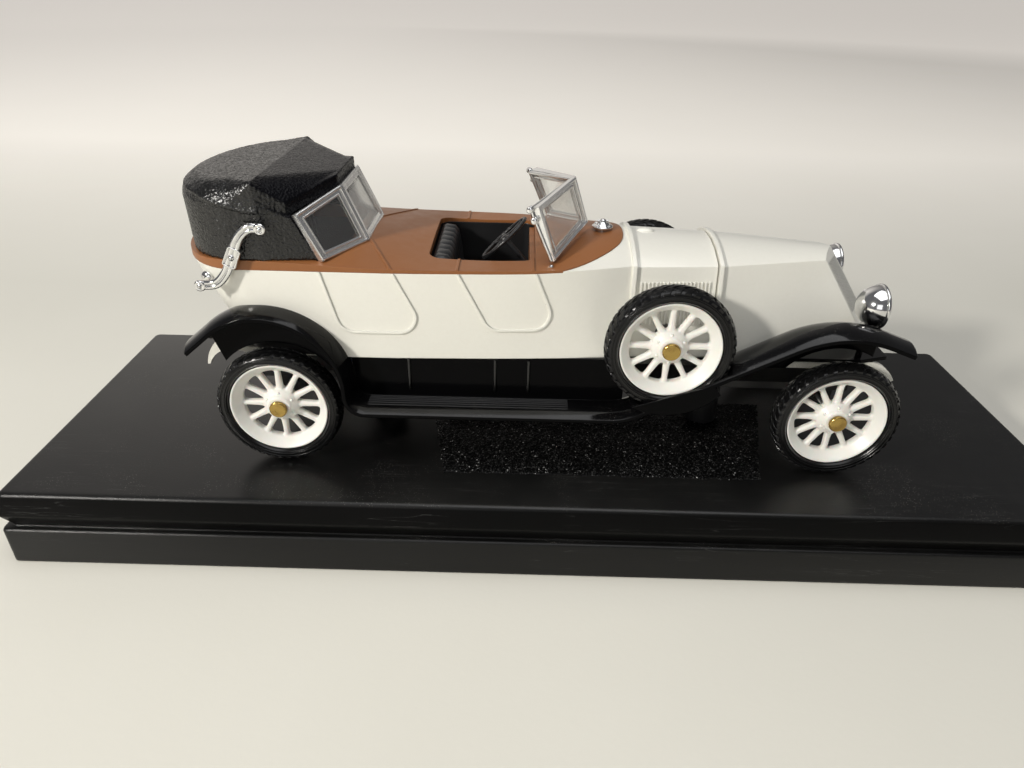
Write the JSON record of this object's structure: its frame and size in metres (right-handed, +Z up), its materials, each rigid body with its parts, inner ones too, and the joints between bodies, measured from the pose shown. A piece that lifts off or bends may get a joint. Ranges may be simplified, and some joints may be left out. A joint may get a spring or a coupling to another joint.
{
  "type": "scale model touring car on display plinth",
  "caption": "Scale model of a 1920s open touring car with raised rear hood, spoked wheels that turn and side-mounted spares, screwed to a two-tier black display plinth.",
  "frame": {"origin": "middle of the plinth's underside", "axes": "+X to the front of the car, +Y to its left, +Z up"},
  "size_m": [0.18, 0.0604, 0.0614],
  "materials": {
    "plinth_black": "satin black moulded plastic, dusty and scratched",
    "chassis_black": "satin black painted casting",
    "wing_black": "gloss black painted casting",
    "body_white": "gloss off-white paint on a casting",
    "deck_brown": "cinnamon brown semi-gloss moulded plastic",
    "hood_black": "black plastic moulded with a leather grain",
    "trim_black": "black moulded plastic",
    "seat_black": "black moulded pleated seat",
    "wheel_white": "warm white moulded plastic",
    "tyre_black": "black tyre rubber",
    "brass": "turned brass pin, a little dull",
    "steel": "bright steel",
    "chrome": "vacuum-plated bright chrome",
    "screen_glass": "clear moulded pane",
    "lens_glass": "clear lamp lens"
  },
  "bodies": {
    "root": {"body_shell": "body_white", "bonnet": "body_white", "chassis_plate": "chassis_black", "dashboard": "deck_brown", "deck": "deck_brown", "frame_rail_left": "body_white", "frame_rail_right": "body_white", "front_apron": "wing_black", "front_axle": "steel", "front_seat": "seat_black", "headlamp_left": "chrome", "headlamp_lens_left": "lens_glass", "headlamp_lens_right": "lens_glass", "headlamp_right": "chrome", "hood": "hood_black", "hub_pin_front_left": "brass", "hub_pin_front_right": "brass", "hub_pin_rear_left": "brass", "hub_pin_rear_right": "brass", "hub_pin_spare_left": "brass", "hub_pin_spare_right": "brass", "interior_tub": "trim_black", "landau_iron_left": "chrome", "landau_iron_right": "chrome", "mounting_pillars": "chassis_black", "mounting_screws": "steel", "plinth": "plinth_black", "rear_axle": "steel", "rear_screen_frame": "chrome", "rear_screen_glass": "screen_glass", "rear_seat": "seat_black", "scuttle_cap": "chrome", "spare_wheel_posts": "chassis_black", "steering_column": "trim_black", "steering_wheel": "trim_black", "tyre_spare_left": "tyre_black", "tyre_spare_right": "tyre_black", "wheel_spare_left": "wheel_white", "wheel_spare_right": "wheel_white", "windscreen_frame": "chrome", "windscreen_glass": "screen_glass", "wings_left": "wing_black", "wings_right": "wing_black"},
    "road_wheel_rear_right": {"wheel_rear_right": "wheel_white", "tyre_rear_right": "tyre_black"},
    "road_wheel_rear_left": {"wheel_rear_left": "wheel_white", "tyre_rear_left": "tyre_black"},
    "road_wheel_front_right": {"wheel_front_right": "wheel_white", "tyre_front_right": "tyre_black"},
    "road_wheel_front_left": {"wheel_front_left": "wheel_white", "tyre_front_left": "tyre_black"}
  },
  "joints": [
    {"name": "roll_rear_right", "type": "hinge", "parent": "root", "child": "road_wheel_rear_right", "pos_m": [-0.0452, -0.0165, 0.02424], "axis": [0, 1, 0], "continuous": true},
    {"name": "roll_rear_left", "type": "hinge", "parent": "root", "child": "road_wheel_rear_left", "pos_m": [-0.0452, 0.0165, 0.02424], "axis": [0, 1, 0], "continuous": true},
    {"name": "roll_front_right", "type": "hinge", "parent": "root", "child": "road_wheel_front_right", "pos_m": [0.0476, -0.0165, 0.02424], "axis": [0, 1, 0], "continuous": true},
    {"name": "roll_front_left", "type": "hinge", "parent": "root", "child": "road_wheel_front_left", "pos_m": [0.0476, 0.0165, 0.02424], "axis": [0, 1, 0], "continuous": true}
  ]
}
